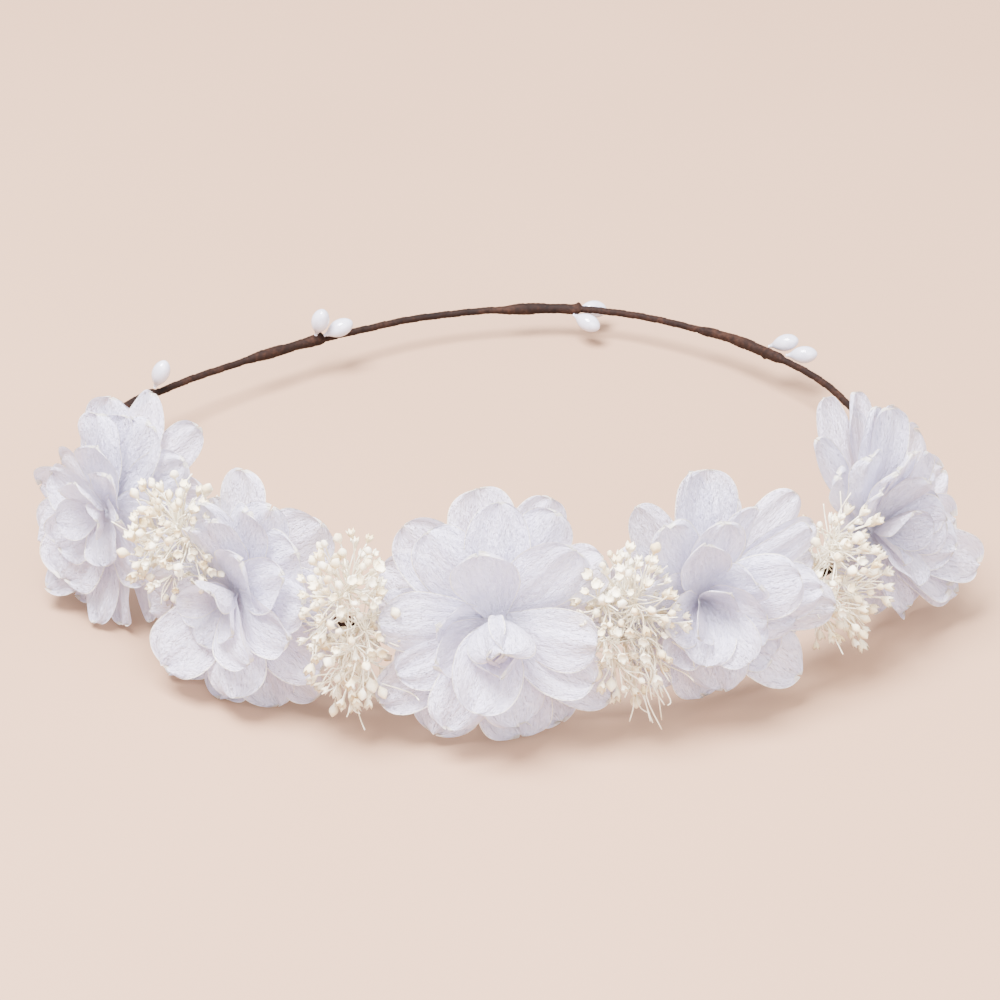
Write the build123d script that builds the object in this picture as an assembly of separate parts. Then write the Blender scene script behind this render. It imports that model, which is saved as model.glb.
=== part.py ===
from build123d import *
from functools import lru_cache
import math
import os

# A flower crown that lies on a table: a hand-bent oval of paper-taped wire, five fabric
# flowers and four bunches of dried broom bloom along its front half, and seven small
# lacquered berries on wire stems along its bare back half.
#
# Millimetres, +Z up, -Y towards the middle flower (the front), +X to the wearer's left.
# The model is moved at the end so that the origin is the middle of its footprint.

# ---------------------------------------------------------------- the ring
# Corners of the polygon that the ring rounds off, seen from above, counter-clockwise
# from the left. The back left is flatter than the back right: it was bent by hand.
RING_CORNERS = [
    (-93, -7), (-86, -37), (-66, -63.5), (-36, -82), (0, -88), (36, -82), (66, -63.5),
    (86, -37), (91, -8), (81, 17), (72.5, 37), (50, 60), (20, 74), (-16, 69.5),
    (-44, 54.5), (-67, 38.5), (-87, 19.5),
]
RING_MID_Y = -8.0          # the ring's middle, from which plan angles are measured
RING_FRONT_Z = 21.0        # height of the wire behind the middle flower
RING_FRONT_Y = -86.0
RING_SLOPE = 0.085         # the flowers hold the front up and the back sinks
RUN_SHARE = 0.45           # share of each run that its corner's arc takes up

WIRE_R = 0.6               # 1.2 mm galvanised floral wire
TAPE_BORE_R = 0.65
TAPE_R = 0.95              # crepe paper tape round the wire
TAPE_CLEAR = 0.05          # air between the tape and what is bound over it

# ---------------------------------------------------------------- bound stems
BESIDE_GAP = 0.12          # air between the tape and a stem bound beside it
SLEEVE_WALL = 0.3          # tape wound over a stem and the ring
STEM_BORE = 0.05           # air round a stem in its sleeve
SLEEVE_PAST = 1.0          # the sleeve runs this far past the end of a leg
SLEEVE_BEFORE = 1.5        # and starts this far before the stem comes in

# ---------------------------------------------------------------- berries
BERRY_R = 2.45
BERRY_SHOULDER = 5.0       # from the pivot to the middle of the round end
BERRY_NECK_START = 0.9     # where the lacquer begins on the wire
BERRY_NECK_R = 0.5
BERRY_WIRE_R = 0.25
BERRY_WIRE_DEPTH = 3.0     # the wire goes this far into the berry
BERRY_WIRE_GAP = 0.1       # from the pivot to the start of the neck wire
BERRY_PIVOT_OUT = 1.75     # from the ring's centreline to the pivot
BERRY_SLEEVE_R = 1.6
BERRY_SLEEVE_LENGTH = 20.0
BERRY_SLEEVE_PAST = 1.2    # the sleeve runs this far past the last pivot
BERRY_STEM_LENGTH = 14.0   # the wire under the tape

# group: plan angle of its first pivot, then one (name, side, lean, shift) a berry.
# side turns round the ring from straight up (0) to outwards (90), lean tips the berry
# along the ring towards +X, and shift moves its pivot that way: degrees and mm.
BERRY_GROUPS = {
    "a": (-114.0, [("a1", -13, 13, 0.0)]),
    "b": (-145.6, [("b1", -12, 8, 0.0), ("b2", -33, 60, 1.6)]),
    "c": (168.0, [("c1", -112, 60, 0.0), ("c2", 118, 60, 0.8)]),
    "d": (133.0, [("d1", 58, 54, 0.0), ("d2", 78, 56, 5.2)]),
}

# ---------------------------------------------------------------- flowers
# number: plan angle, height of its hub, and how far it is turned from facing squarely
# outwards, to the right and upwards (degrees)
FLOWERS = {
    1: (-66.0, 26.5, 15.0, 8.0),
    2: (-40.0, 24.0, 0.0, 8.0),
    3: (-0.5, 27.0, 0.0, 10.0),
    4: (29.5, 27.0, 0.0, 10.0),
    5: (61.0, 25.5, 0.0, 10.0),
}
FLOWER_OUT = 3.2           # the hub stands this far outside the ring
CLOTH = 0.6                # a stiffened petal layer, with its curl
HUB_R = 3.0
BORE_R = 0.45
FLOWER_STEM_R = 0.4
# layer: height of its hub, slope of its petals, outer radius, number of petals, turn
LAYERS = {
    "outer_petals": (0.0, 7.0, 28.0, 6, -90.0),
    "middle_petals": (1.3, 24.0, 23.0, 6, -60.0),
    "inner_petals": (2.8, 42.0, 16.0, 5, -90.0),
}
BACKING_R = 5.0
BACKING_T = 1.0
BACKING_GAP = 0.2
HEART_BASE = 4.4
HEART_LENGTH = 9.5
HEART_R = 4.2
HEART_BORE_DEPTH = 4.0
STEM_CORNER = 2.2          # the stem turns this far behind the hub
STEM_LEG = 9.0             # and runs this far along the ring

# ---------------------------------------------------------------- broom bloom
BROOM_ANGLES = {1: -52.5, 2: -20.5, 3: 15.5, 4: 46.5}
BROOM_HALF_SECTOR = 4.3    # degrees of the ring that a bunch fills, each way
SECTOR_GAP = 0.4           # degrees of air between a bunch and a flower
BROOM_OUT = 9.5            # the middle of its heads
BROOM_Z = 26.0
BROOM_RADIAL = 6.0
BROOM_TALL = 20.0
BROOM_WIDE = 9.0
BROOM_STEM_R = 0.8         # the bundle of its stems
BROOM_STEM_OUT = 5.0       # the bundle leaves the ring level, then turns up
BROOM_STEM_RISE = 4.0
BROOM_LEG = 7.0
END_SECTOR = 17.0          # degrees beyond the first and the last flower
FAR = 200.0
SECTOR_TOP = 80.0

UP = Vector(0, 0, 1)


# ---------------------------------------------------------------- helpers
def corner_radii(points):
    """Radius of the arc at each corner of a closed polygon: as large as its runs allow."""
    radii = []
    for i, here in enumerate(points):
        before = here - points[i - 1]
        after = points[(i + 1) % len(points)] - here
        half_turn = math.radians(before.get_angle(after)) / 2
        radii.append(RUN_SHARE * min(before.length, after.length) / math.tan(half_turn))
    return radii


def plan_angle(point):
    """Degrees round the ring's middle, 0 at the front and positive towards +X."""
    return math.degrees(math.atan2(point.X, -(point.Y - RING_MID_Y)))


class Ring:
    """The ring's centreline, with lookups by plan angle and by mm further along it.

    Along the ring means the way in which the plan angle grows: to the right across the
    front, and from right to left across the back."""

    def __init__(self):
        corners = [
            Vector(x, y, RING_FRONT_Z - RING_SLOPE * (y - RING_FRONT_Y))
            for x, y in RING_CORNERS
        ]
        self.path = FilletPolyline(*corners, radius=corner_radii(corners), close=True)
        self.length = self.path.length
        self.seam = plan_angle(self.path @ 0)

    @lru_cache(maxsize=None)
    def share(self, angle, shift=0.0):
        """Share of the ring's length at which a plan angle lies, shift mm further on."""
        wanted = (angle - self.seam) % 360
        low, high = 0.0, 1.0
        while high - low > 1e-6:
            middle = (low + high) / 2
            if (plan_angle(self.path @ middle) - self.seam) % 360 < wanted:
                low = middle
            else:
                high = middle
        return low + shift / self.length

    def at(self, angle, shift=0.0):
        return self.path @ self.share(angle, shift)

    def along(self, angle, shift=0.0):
        return self.path % self.share(angle, shift)

    def outwards(self, angle, shift=0.0):
        """Level unit vector away from the ring's middle, square to the ring."""
        return self.along(angle, shift).cross(UP).normalized()

    def stretch(self, angle, start, end):
        """The part of the centreline between two distances from a plan angle."""
        return self.path.trim(self.share(angle, start), self.share(angle, end))

    def room(self, angle, start, end):
        """The space that the taped ring takes up there, with a little air."""
        return tube(self.stretch(angle, start - 3, end + 3), TAPE_R + TAPE_CLEAR)


def tube(path, radius):
    return sweep((path ^ 0) * Circle(radius), path=path)


def largest(shape):
    return max(shape.solids(), key=lambda s: s.volume)


def sector(from_angle, to_angle):
    """The space above the table between two plan angles."""
    rays = [
        (FAR * math.sin(math.radians(a)), RING_MID_Y - FAR * math.cos(math.radians(a)))
        for a in (from_angle, to_angle)
    ]
    outline = Polyline((0, RING_MID_Y), *rays, close=True)
    return extrude(make_face(outline), SECTOR_TOP, dir=(0, 0, 1))


# ---------------------------------------------------------------- ring and its tape
def make_core_wire(ring):
    return tube(ring.path, WIRE_R)


def make_band_tape(ring):
    return tube(ring.path, TAPE_R) - tube(ring.path, TAPE_BORE_R)


# ---------------------------------------------------------------- a stem bound to the ring
def bound_stem(ring, angle, head, corner, radius, leg):
    """A stem that comes down from its head, turns on to the ring and runs along it, and
    the tape sleeve that binds it there. A negative leg runs against the ring's sense."""
    here = ring.at(angle)
    along = ring.along(angle)
    side = corner - here
    side = (side - along * side.dot(along)).normalized()
    beside = TAPE_R + BESIDE_GAP + radius
    offset = side * beside
    legs = [ring.at(angle, leg * share) + offset for share in (0.5, 1.0)]
    turn = 1.4 * radius + 0.5
    line = FilletPolyline(head, corner, here + offset, *legs, radius=[turn, turn, 20.0])
    stem = tube(line, radius)
    bore = tube(line, radius + STEM_BORE)

    way = math.copysign(1, leg)
    start, end = sorted((-way * SLEEVE_BEFORE, leg + way * SLEEVE_PAST))
    reach = beside + radius
    middle = side * ((reach - TAPE_R) / 2)
    outer_r = (TAPE_R + reach) / 2 + SLEEVE_WALL
    sleeve = Pos(*middle) * tube(ring.stretch(angle, start, end), outer_r)
    sleeve = sleeve - ring.room(angle, start, end) - bore
    return stem, bore, largest(sleeve)


# ---------------------------------------------------------------- berries
def berry_pivot(ring, angle, side, lean, shift):
    """Where a berry's neck leaves the tape: the pivot, the way the berry points, and the
    axis that lifts it away from the ring. The back is followed towards +X."""
    along = -ring.along(angle, -shift)
    out = ring.outwards(angle, -shift)
    turn = math.radians(side)
    away = (along.cross(out) * math.cos(turn) + out * math.sin(turn)).normalized()
    tip = math.radians(lean)
    direction = away * math.cos(tip) + along * math.sin(tip)
    pivot = ring.at(angle, -shift) + away * BERRY_PIVOT_OUT
    axis = along.cross(away).normalized()
    return pivot, direction, axis, away


def make_berry():
    """The lacquered drop on its own axis: a round end and a cone that closes on the wire."""
    drop = BERRY_SHOULDER - BERRY_NECK_START
    lean = math.asin((BERRY_R - BERRY_NECK_R) / drop)
    tangent = (BERRY_R * math.cos(lean), BERRY_SHOULDER - BERRY_R * math.sin(lean))
    upper = (BERRY_R * math.cos(0.5), BERRY_SHOULDER + BERRY_R * math.sin(0.5))
    tip = (0, BERRY_SHOULDER + BERRY_R)
    hole_r = BERRY_WIRE_R
    hole_end = BERRY_NECK_START + BERRY_WIRE_DEPTH
    outline = [
        Line((hole_r, BERRY_NECK_START), (BERRY_NECK_R, BERRY_NECK_START)),
        Line((BERRY_NECK_R, BERRY_NECK_START), tangent),
        ThreePointArc(tangent, upper, tip),
        Line(tip, (0, hole_end)),
        Line((0, hole_end), (hole_r, hole_end)),
        Line((hole_r, hole_end), (hole_r, BERRY_NECK_START)),
    ]
    return revolve(Plane.XZ * make_face(Curve() + outline), axis=Axis.Z)


def make_neck_wire():
    length = BERRY_NECK_START + BERRY_WIRE_DEPTH - BERRY_WIRE_GAP
    return Pos(0, 0, BERRY_WIRE_GAP) * extrude(Circle(BERRY_WIRE_R), length)


def make_berries(ring):
    """Berries and neck wires by name, one sleeve a group, and the wires in the sleeves."""
    parts, stems = {}, []
    beside = TAPE_R + BESIDE_GAP + BERRY_WIRE_R
    for group, (angle, berries) in BERRY_GROUPS.items():
        last = max(shift for _, _, _, shift in berries)
        start, end = -last - BERRY_SLEEVE_PAST, BERRY_SLEEVE_LENGTH
        sleeve = tube(ring.stretch(angle, start, end), BERRY_SLEEVE_R)
        sleeve -= ring.room(angle, start, end)
        for name, side, lean, shift in berries:
            pivot, direction, axis, away = berry_pivot(ring, angle, side, lean, shift)
            place = Plane(origin=pivot, z_dir=direction, x_dir=axis).location
            parts[f"berry_{name}"] = place * make_berry()
            parts[f"berry_{name}_neck"] = place * make_neck_wire()
            run = Pos(*(away * beside)) * ring.stretch(
                angle, -shift, BERRY_STEM_LENGTH - shift
            )
            stems.append(tube(run, BERRY_WIRE_R))
            sleeve -= tube(run, BERRY_WIRE_R + STEM_BORE)
        parts[f"berry_wrap_{group}"] = largest(sleeve)
    parts["berry_stems"] = Compound([largest(s) for s in stems])
    return parts


# ---------------------------------------------------------------- flowers
def petal_outline(radius, count, turn):
    """Petals round a hub, seen along the flower's axis."""
    length = radius - HUB_R
    width = min(0.62 * length, 1.25 * math.pi * (HUB_R + length * 0.6) / count)
    shape = Circle(HUB_R + 0.2 * length)
    for i in range(count):
        petal = Pos(HUB_R + length / 2, 0) * Ellipse(length / 2, width)
        shape += Rot(0, 0, turn + 360 / count * i) * petal
    return shape


def make_layer(hub_z, slope, radius, count, turn):
    """One die-cut layer of petals: a shallow cone of stiff cloth, cut to the petals."""
    rise = math.tan(math.radians(slope))
    thick = CLOTH / math.cos(math.radians(slope))
    top = (radius - HUB_R) * rise
    profile = Polyline(
        (BORE_R, 0), (HUB_R, 0), (radius, top), (radius, top + thick), (HUB_R, thick),
        (BORE_R, thick), close=True,
    )
    cone = revolve(Plane.XZ * make_face(profile), axis=Axis.Z)
    cut = extrude(petal_outline(radius, count, turn), top + 2 * thick + 2)
    return Pos(0, 0, hub_z) * (cone & (Pos(0, 0, -1) * cut))


def make_heart():
    """The rolled innermost petals, as a bud with a hole for the stem."""
    top = HEART_BASE + HEART_LENGTH
    bore_end = HEART_BASE + HEART_BORE_DEPTH
    profile = Polyline(
        (BORE_R, HEART_BASE),
        (0.4 * HEART_R, HEART_BASE),
        (HEART_R, HEART_BASE + 0.55 * HEART_LENGTH),
        (0.85 * HEART_R, HEART_BASE + 0.85 * HEART_LENGTH),
        (0.3 * HEART_R, top),
        (0, top),
        (0, bore_end),
        (BORE_R, bore_end),
        close=True,
    )
    return revolve(Plane.XZ * make_face(profile), axis=Axis.Z)


def make_backing():
    disc = extrude(Circle(BACKING_R) - Circle(BORE_R), BACKING_T)
    return Pos(0, 0, -BACKING_GAP - BACKING_T) * disc


def flower_plane(ring, number):
    angle, hub_z, turn, tilt = FLOWERS[number]
    out = ring.outwards(angle)
    level = out.rotate(Axis.Z, turn)
    facing = level * math.cos(math.radians(tilt)) + UP * math.sin(math.radians(tilt))
    here = ring.at(angle)
    hub = Vector(here.X, here.Y, 0) + out * FLOWER_OUT + UP * hub_z
    return Plane(origin=hub, z_dir=facing, x_dir=UP.cross(facing))


def flower_sector(number):
    """A flower keeps to its own part of the ring, between the bunches beside it."""
    angle = FLOWERS[number][0]
    half = BROOM_HALF_SECTOR + SECTOR_GAP
    left = BROOM_ANGLES[number - 1] + half if number > 1 else angle - END_SECTOR
    right = BROOM_ANGLES[number] - half if number < 5 else angle + END_SECTOR
    return sector(left, right)


def make_flower(ring, number):
    plane = flower_plane(ring, number)
    room = flower_sector(number)
    parts = {}
    for layer, (hub_z, slope, radius, count, turn) in LAYERS.items():
        cloth = make_layer(hub_z, slope, radius, count, turn)
        parts[layer] = largest((plane.location * cloth) & room)
    parts["heart"] = plane.location * make_heart()
    parts["backing"] = plane.location * make_backing()
    head = plane.origin + plane.z_dir * (HEART_BASE + HEART_BORE_DEPTH - 0.2)
    corner = plane.origin - plane.z_dir * STEM_CORNER
    angle = FLOWERS[number][0]
    parts["stem"], _, sleeve = bound_stem(
        ring, angle, head, corner, FLOWER_STEM_R, STEM_LEG
    )
    return parts, sleeve


# ---------------------------------------------------------------- broom bloom
def make_broom(ring, number):
    """A bunch of seed heads, as the room that it fills, and the bound bundle of stems."""
    angle = BROOM_ANGLES[number]
    out = ring.outwards(angle)
    here = ring.at(angle)
    middle = Vector(here.X, here.Y, 0) + out * BROOM_OUT + UP * BROOM_Z
    side_view = Plane(origin=middle, x_dir=out, z_dir=out.cross(UP))
    heads = extrude(side_view * Ellipse(BROOM_RADIAL, BROOM_TALL), BROOM_WIDE, both=True)
    heads &= sector(angle - BROOM_HALF_SECTOR, angle + BROOM_HALF_SECTOR)
    corner = here + out * BROOM_STEM_OUT
    head = corner + out * BROOM_STEM_OUT + UP * BROOM_STEM_RISE
    stems, bore, sleeve = bound_stem(
        ring, angle, head, corner, BROOM_STEM_R, -BROOM_LEG
    )
    return largest(heads - bore), stems, sleeve


# ---------------------------------------------------------------- the whole crown
def make_crown():
    ring = Ring()
    parts = {"core_wire": make_core_wire(ring), "band_tape": make_band_tape(ring)}
    parts.update(make_berries(ring))
    sleeves = []
    for number in FLOWERS:
        flower, sleeve = make_flower(ring, number)
        parts.update({f"flower_{number}_{name}": s for name, s in flower.items()})
        sleeves.append(sleeve)
    for number in BROOM_ANGLES:
        heads, stems, sleeve = make_broom(ring, number)
        parts[f"broom_{number}_heads"] = heads
        parts[f"broom_{number}_stems"] = stems
        sleeves.append(sleeve)
    parts["stem_bindings"] = Compound(sleeves)
    return parts


def main():
    parts = make_crown()
    box = Compound([p for s in parts.values() for p in s.solids()]).bounding_box()
    to_origin = Pos(-box.center().X, -box.center().Y, -box.min.Z)
    os.makedirs("parts", exist_ok=True)
    for name, shape in parts.items():
        export_step(to_origin * shape, f"parts/{name}.step")
    print("moved to the origin by", to_origin.position, "size", box.size)


if __name__ == "__main__":
    main()
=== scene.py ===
import math
import random

import bpy
import numpy as np
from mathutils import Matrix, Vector


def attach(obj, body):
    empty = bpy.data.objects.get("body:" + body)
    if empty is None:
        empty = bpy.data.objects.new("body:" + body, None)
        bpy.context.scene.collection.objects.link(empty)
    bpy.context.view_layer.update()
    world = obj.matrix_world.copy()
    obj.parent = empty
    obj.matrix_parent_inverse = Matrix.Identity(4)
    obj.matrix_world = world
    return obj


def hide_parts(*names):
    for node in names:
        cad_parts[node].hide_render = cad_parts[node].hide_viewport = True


# Looks of the flower crown: chiffon petals, dried heads, crepe tape and lacquered berries
# over the CAD frame. Metres; the tables are in millimetres and degrees.

MM = 0.001
TAU = 2 * math.pi
UP = Vector((0, 0, 1))

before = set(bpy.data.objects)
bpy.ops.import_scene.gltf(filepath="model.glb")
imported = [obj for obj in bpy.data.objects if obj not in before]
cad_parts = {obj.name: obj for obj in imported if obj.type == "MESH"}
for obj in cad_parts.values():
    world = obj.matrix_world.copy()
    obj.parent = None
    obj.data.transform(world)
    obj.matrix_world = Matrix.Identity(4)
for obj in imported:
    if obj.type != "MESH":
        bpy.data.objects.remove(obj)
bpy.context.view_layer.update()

# ---------------------------------------------------------------- the ring
# The same rounded polygon as the CAD ring, moved to the row frame.
ROW_SHIFT = Vector((3.207, 14.935, 0))
RING_CORNERS = [
    (-93, -7), (-86, -37), (-66, -63.5), (-36, -82), (0, -88), (36, -82), (66, -63.5),
    (86, -37), (91, -8), (81, 17), (72.5, 37), (50, 60), (20, 74), (-16, 69.5),
    (-44, 54.5), (-67, 38.5), (-87, 19.5),
]
RING_MID_Y = -8.0
RING_FRONT_Z = 21.0
RING_FRONT_Y = -86.0
RING_SLOPE = 0.085
RUN_SHARE = 0.45
RING_STEP = 0.35
ARC_STEPS = 16


def plan_angle(point):
    """Degrees round the ring's middle, 0 at the front and positive towards +X."""
    return math.degrees(math.atan2(point.x, -(point.y - RING_MID_Y)))


class Ring:
    """The ring's centreline as evenly spaced points, with lookups by plan angle."""

    def __init__(self):
        self.points = self.evenly(self.rounded())
        self.count = len(self.points)
        self.angles = [plan_angle(p) for p in self.points]

    def rounded(self):
        corners = [
            Vector((x, y, RING_FRONT_Z - RING_SLOPE * (y - RING_FRONT_Y)))
            for x, y in RING_CORNERS
        ]
        line = []
        for i, here in enumerate(corners):
            before = corners[i - 1] - here
            after = corners[(i + 1) % len(corners)] - here
            reach = RUN_SHARE * min(before.length, after.length)
            start = here + before.normalized() * reach
            end = here + after.normalized() * reach
            half_turn = (math.pi - before.angle(after)) / 2
            radius = reach / math.tan(half_turn)
            inward = (before.normalized() + after.normalized()).normalized()
            centre = here + inward * math.hypot(reach, radius)
            for k in range(ARC_STEPS + 1):
                chord = start.lerp(end, k / ARC_STEPS) - centre
                line.append(centre + chord.normalized() * radius)
        return line

    def evenly(self, line):
        closed = line + line[:1]
        lengths = [0.0]
        for a, b in zip(closed, closed[1:]):
            lengths.append(lengths[-1] + (b - a).length)
        self.length = lengths[-1]
        count = round(self.length / RING_STEP)
        wanted = np.arange(count) * self.length / count
        axes = [np.interp(wanted, lengths, [p[k] for p in closed]) for k in range(3)]
        return [Vector(p) for p in zip(*axes)]

    def index(self, angle, shift=0.0):
        """Index of the point at a plan angle, shift mm further on."""
        off = [abs((a - angle + 180) % 360 - 180) for a in self.angles]
        return (off.index(min(off)) + round(shift * self.count / self.length)) % self.count

    def at(self, index):
        return self.points[index % self.count]

    def along(self, index):
        return (self.at(index + 3) - self.at(index - 3)).normalized()

    def outwards(self, index):
        return self.along(index).cross(UP).normalized()


ring = Ring()


def to_row(points):
    """Model millimetres to row-frame metres."""
    return [(Vector(p) + ROW_SHIFT) * MM for p in points]


# ---------------------------------------------------------------- mesh helpers
class Soup:
    """Vertices, faces and face-corner UVs that grow piece by piece into one mesh."""

    def __init__(self):
        self.verts, self.faces, self.uvs = [], [], []

    def grid(self, points, uvs, closed=False):
        """points[i][j] joined into quads; closed joins the last j to the first."""
        first = len(self.verts)
        rows, columns = len(points), len(points[0])
        for row in points:
            self.verts.extend(row)
        last = columns if closed else columns - 1
        for i in range(rows - 1):
            for j in range(last):
                k = (j + 1) % columns
                corners = [(i, j), (i, k), (i + 1, k), (i + 1, j)]
                self.faces.append([first + a * columns + b for a, b in corners])
                self.uvs.extend(uvs[a][b] for a, b in corners)
        return first

    def cap(self, start, columns, flip):
        """Closes a ring of vertices with a fan about its middle."""
        loop = [Vector(self.verts[start + j]) for j in range(columns)]
        centre = sum(loop, Vector()) / columns
        middle = len(self.verts)
        self.verts.append(centre)
        for j in range(columns):
            pair = [start + j, start + (j + 1) % columns]
            if flip:
                pair.reverse()
            self.faces.append([middle] + pair)
            self.uvs.extend([(0.5, 0.5)] * 3)

    def build(self, name, material, body, nodes=(), slot=None):
        mesh = bpy.data.meshes.new(name)
        mesh.from_pydata([tuple(v) for v in self.verts], [], self.faces)
        layer = mesh.uv_layers.new(name="UVMap")
        for data, uv in zip(layer.data, self.uvs):
            data.uv = uv
        mesh.polygons.foreach_set("use_smooth", [True] * len(mesh.polygons))
        mesh.materials.append(material)
        piece = bpy.data.objects.new(name, mesh)
        bpy.context.scene.collection.objects.link(piece)
        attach(piece, body)
        if nodes:
            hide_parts(*nodes)
        return piece


def add_tube(soup, points, radii, sides, radius_at=None):
    """A closed-ended tube along points (model mm), radius_at(i, j) adding to its radius."""
    rows, uvs = [], []
    side = None
    for i, here in enumerate(points):
        ahead = points[min(i + 1, len(points) - 1)] - points[max(i - 1, 0)]
        tangent = ahead.normalized()
        if side is None:
            side = tangent.cross(UP if abs(tangent.z) < 0.9 else Vector((1, 0, 0)))
        side = (side - tangent * side.dot(tangent)).normalized()
        other = tangent.cross(side)
        row = []
        for j in range(sides):
            turn = TAU * j / sides
            r = radii[i] + (radius_at(i, j) if radius_at else 0.0)
            row.append(here + (side * math.cos(turn) + other * math.sin(turn)) * r)
        rows.append(to_row(row))
        uvs.append([(j / sides, i / len(points)) for j in range(sides)])
    first = soup.grid(rows, uvs, closed=True)
    soup.cap(first, sides, True)
    soup.cap(first + (len(points) - 1) * sides, sides, False)


def smooth_line(points, steps):
    """A Catmull-Rom curve through the points."""
    line = []
    padded = [points[0]] + list(points) + [points[-1]]
    for a, b, c, d in zip(padded, padded[1:], padded[2:], padded[3:]):
        for k in range(steps):
            t = k / steps
            line.append(
                0.5
                * (
                    2 * b
                    + (c - a) * t
                    + (2 * a - 5 * b + 4 * c - d) * t * t
                    + (3 * b - a - 3 * c + d) * t**3
                )
            )
    line.append(points[-1])
    return line


# ---------------------------------------------------------------- materials
def new_material(name):
    material = bpy.data.materials.new(name)
    material.use_nodes = True
    nodes = material.node_tree.nodes
    return material, nodes, material.node_tree.links, nodes["Principled BSDF"]


def add(nodes, kind, **values):
    """A node with its properties and, by input name, its socket values."""
    node = nodes.new(kind)
    for key, value in values.items():
        if key in node.inputs:
            node.inputs[key].default_value = value
        else:
            setattr(node, key, value)
    return node


def colour_ramp(nodes, stops):
    node = nodes.new("ShaderNodeValToRGB")
    ramp = node.color_ramp
    ramp.elements[0].position, ramp.elements[0].color = stops[0][0], (*stops[0][1], 1)
    ramp.elements[1].position, ramp.elements[1].color = stops[-1][0], (*stops[-1][1], 1)
    for position, colour in stops[1:-1]:
        ramp.elements.new(position).color = (*colour, 1)
    return node


def bump(nodes, links, height, distance, strength=1.0, under=None):
    node = add(nodes, "ShaderNodeBump", Strength=strength, Distance=distance)
    links.new(height, node.inputs["Height"])
    if under:
        links.new(under.outputs["Normal"], node.inputs["Normal"])
    return node


def chiffon():
    material, nodes, links, skin = new_material("chiffon")
    uv = add(nodes, "ShaderNodeTexCoord")
    wide = add(nodes, "ShaderNodeMapping", Scale=(15, 7, 1))
    fine = add(nodes, "ShaderNodeMapping", Scale=(44, 26, 1))
    crease = add(nodes, "ShaderNodeTexNoise", Scale=1.0, Detail=3.0, Roughness=0.6, Distortion=0.6)
    crepe = add(nodes, "ShaderNodeTexNoise", Scale=1.0, Detail=2.0, Roughness=0.5, Distortion=0.8)
    position = add(nodes, "ShaderNodeTexCoord")
    patch = add(nodes, "ShaderNodeTexNoise", Scale=90.0, Detail=2.0)
    links.new(uv.outputs["UV"], wide.inputs["Vector"])
    links.new(uv.outputs["UV"], fine.inputs["Vector"])
    links.new(wide.outputs["Vector"], crease.inputs["Vector"])
    links.new(fine.outputs["Vector"], crepe.inputs["Vector"])
    links.new(position.outputs["Object"], patch.inputs["Vector"])

    # The cloth's own lavender colour, made darker where the crease relief is low: painted shade in the
    # crease hollows.
    cloth_and_crease_shade = colour_ramp(nodes, [(0.36, (0.81, 0.78, 0.96)), (0.6, (0.89, 0.86, 1.0))])
    links.new(crease.outputs["Fac"], cloth_and_crease_shade.inputs["Fac"])

    split = add(nodes, "ShaderNodeSeparateXYZ")
    across = add(nodes, "ShaderNodeMath", operation="SUBTRACT")
    across.inputs[1].default_value = 0.5
    spread = add(nodes, "ShaderNodeMath", operation="ABSOLUTE")
    doubled = add(nodes, "ShaderNodeMath", operation="MULTIPLY")
    doubled.inputs[1].default_value = 2.0
    rim = add(nodes, "ShaderNodeMath", operation="MAXIMUM")
    links.new(uv.outputs["UV"], split.inputs["Vector"])
    links.new(split.outputs["X"], across.inputs[0])
    links.new(across.outputs["Value"], spread.inputs[0])
    links.new(spread.outputs["Value"], doubled.inputs[0])
    links.new(doubled.outputs["Value"], rim.inputs[0])
    tip = add(nodes, "ShaderNodeMath", operation="MULTIPLY_ADD")
    tip.inputs[1].default_value = 3.0
    tip.inputs[2].default_value = -2.0
    links.new(split.outputs["Y"], tip.inputs[0])
    links.new(tip.outputs["Value"], rim.inputs[1])
    edge = colour_ramp(nodes, [(0.95, (0, 0, 0)), (0.985, (1, 1, 1))])
    links.new(rim.outputs["Value"], edge.inputs["Fac"])
    tint = add(nodes, "ShaderNodeMix", data_type="RGBA")
    tint.inputs["B"].default_value = (0.97, 0.91, 0.80, 1)
    links.new(edge.outputs["Color"], tint.inputs["Factor"])
    links.new(cloth_and_crease_shade.outputs["Color"], tint.inputs["A"])

    relief = bump(nodes, links, crease.outputs["Fac"], 0.0022, 0.7)
    relief = bump(nodes, links, crepe.outputs["Fac"], 0.0009, 0.7, relief)
    links.new(tint.outputs["Result"], skin.inputs["Base Color"])
    links.new(relief.outputs["Normal"], skin.inputs["Normal"])
    rough = colour_ramp(nodes, [(0.3, (0.62, 0.62, 0.62)), (0.7, (0.8, 0.8, 0.8))])
    links.new(patch.outputs["Fac"], rough.inputs["Fac"])
    links.new(rough.outputs["Color"], skin.inputs["Roughness"])
    skin.inputs["Specular IOR Level"].default_value = 0.25
    skin.inputs["Sheen Weight"].default_value = 0.25
    skin.inputs["Sheen Roughness"].default_value = 0.5

    through = add(nodes, "ShaderNodeBsdfTranslucent")
    links.new(tint.outputs["Result"], through.inputs["Color"])
    links.new(relief.outputs["Normal"], through.inputs["Normal"])
    soft = add(nodes, "ShaderNodeMixShader", Fac=0.27)
    links.new(skin.outputs["BSDF"], soft.inputs[1])
    links.new(through.outputs["BSDF"], soft.inputs[2])
    clear = add(nodes, "ShaderNodeBsdfTransparent")
    sheer = add(nodes, "ShaderNodeMixShader")
    open_weave = colour_ramp(nodes, [(0.9, (0.1, 0.1, 0.1)), (0.985, (0.0, 0.0, 0.0))])
    links.new(rim.outputs["Value"], open_weave.inputs["Fac"])
    links.new(open_weave.outputs["Color"], sheer.inputs["Fac"])
    links.new(soft.outputs["Shader"], sheer.inputs[1])
    links.new(clear.outputs["BSDF"], sheer.inputs[2])
    links.new(sheer.outputs["Shader"], nodes["Material Output"].inputs["Surface"])
    return material


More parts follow.
